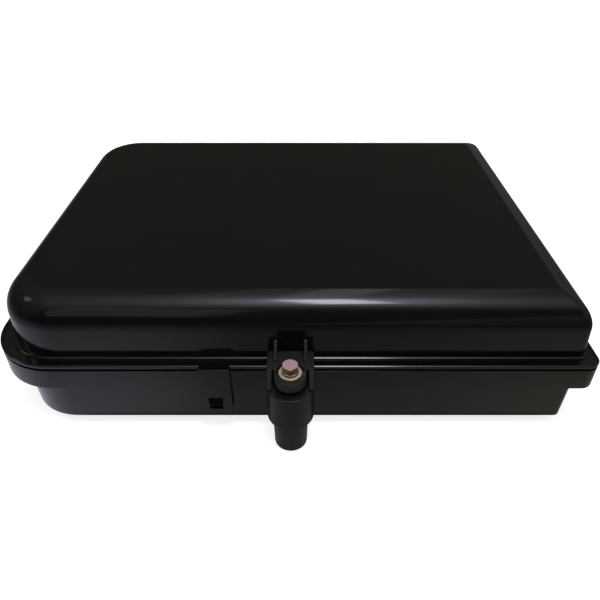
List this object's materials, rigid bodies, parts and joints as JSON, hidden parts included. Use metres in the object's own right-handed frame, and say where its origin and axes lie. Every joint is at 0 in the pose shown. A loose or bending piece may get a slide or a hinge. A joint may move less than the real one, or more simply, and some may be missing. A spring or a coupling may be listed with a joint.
{
  "type": "fibre termination box",
  "caption": "Wall-mounted fibre termination box: black moulded base with cable ports and a domed hinged lid, bolt lock and snap tongue, with splice trays and adapters inside.",
  "frame": {"origin": "middle of the wall plane that the four feet stand on, centred between the fixing holes", "axes": "+X along the long side towards the cable ports, -Y towards the lock, +Z out of the wall"},
  "size_m": [0.43, 0.373, 0.103],
  "materials": {
    "housing": "glossy black moulded plastic",
    "yellow_zinc": "yellow passivated zinc on steel",
    "rubber": "matt black rubber",
    "brass": "machined brass",
    "steel": "bright zinc steel",
    "clear_plastic": "clear moulded plastic",
    "tray_plastic": "pale grey moulded plastic",
    "nut_plastic": "black moulded plastic",
    "bracket_metal": "black powder-coated sheet",
    "adapter_plastic": "green moulded plastic",
    "cap_plastic": "off-white soft plastic",
    "gland_plastic": "matt black moulded plastic"
  },
  "bodies": {
    "base": {"adapter_bracket": "bracket_metal", "adapter_bracket_screws": "steel", "adapter_dust_caps": "cap_plastic", "base_housing": "housing", "cable_clamp_front": "gland_plastic", "cable_clamp_rear": "gland_plastic", "cable_clamp_screws": "steel", "cable_gland_body_front": "gland_plastic", "cable_gland_body_rear": "gland_plastic", "cable_gland_locknut_front": "gland_plastic", "cable_gland_locknut_rear": "gland_plastic", "cable_gland_nut_front": "gland_plastic", "cable_gland_nut_rear": "gland_plastic", "cable_gland_seal_front": "rubber", "cable_gland_seal_rear": "rubber", "drop_port_plug_01": "rubber", "drop_port_plug_02": "rubber", "drop_port_plug_03": "rubber", "drop_port_plug_04": "rubber", "drop_port_plug_05": "rubber", "drop_port_plug_06": "rubber", "drop_port_plug_07": "rubber", "drop_port_plug_08": "rubber", "drop_port_plug_09": "rubber", "drop_port_plug_10": "rubber", "drop_port_plug_11": "rubber", "drop_port_plug_12": "rubber", "fibre_adapter_01": "adapter_plastic", "fibre_adapter_02": "adapter_plastic", "fibre_adapter_03": "adapter_plastic", "fibre_adapter_04": "adapter_plastic", "fibre_adapter_05": "adapter_plastic", "fibre_adapter_06": "adapter_plastic", "fibre_adapter_07": "adapter_plastic", "fibre_adapter_08": "adapter_plastic", "fibre_adapter_09": "adapter_plastic", "fibre_adapter_10": "adapter_plastic", "fibre_adapter_11": "adapter_plastic", "fibre_adapter_12": "adapter_plastic", "hinge_pin_left": "steel", "hinge_pin_right": "steel", "lid_gasket": "rubber", "lock_insert": "brass", "splice_comb_lower": "rubber", "splice_comb_upper": "rubber", "splice_tray_cover": "clear_plastic", "splice_tray_lower": "tray_plastic", "splice_tray_upper": "tray_plastic", "tray_nut_left": "nut_plastic", "tray_nut_right": "nut_plastic", "tray_stud_left": "steel", "tray_stud_right": "steel"},
    "lid": {"lid": "housing"},
    "lock_washers": {"lock_flat_washer": "yellow_zinc", "lock_spring_washer": "yellow_zinc"},
    "lock_bolt": {"lock_bolt": "yellow_zinc"}
  },
  "joints": [
    {"name": "lid_hinge", "type": "hinge", "parent": "base", "child": "lid", "pos_m": [0, 0.1725, 0.055], "axis": [-1, 0, 0], "range_deg": [0, 120]},
    {"name": "lock_rise", "type": "slide", "parent": "lid", "child": "lock_washers", "axis": [0, 0, 1], "range_m": [0, 0.0085]},
    {"name": "lock_turn", "type": "hinge", "parent": "lock_washers", "child": "lock_bolt", "pos_m": [0, -0.1783, 0.07], "axis": [0, 0, 1], "range_deg": [0, 3060]}
  ],
  "couplings": [
    {"joint": "lock_turn", "follows": "lock_rise", "rad_per_m": 6283.2}
  ]
}
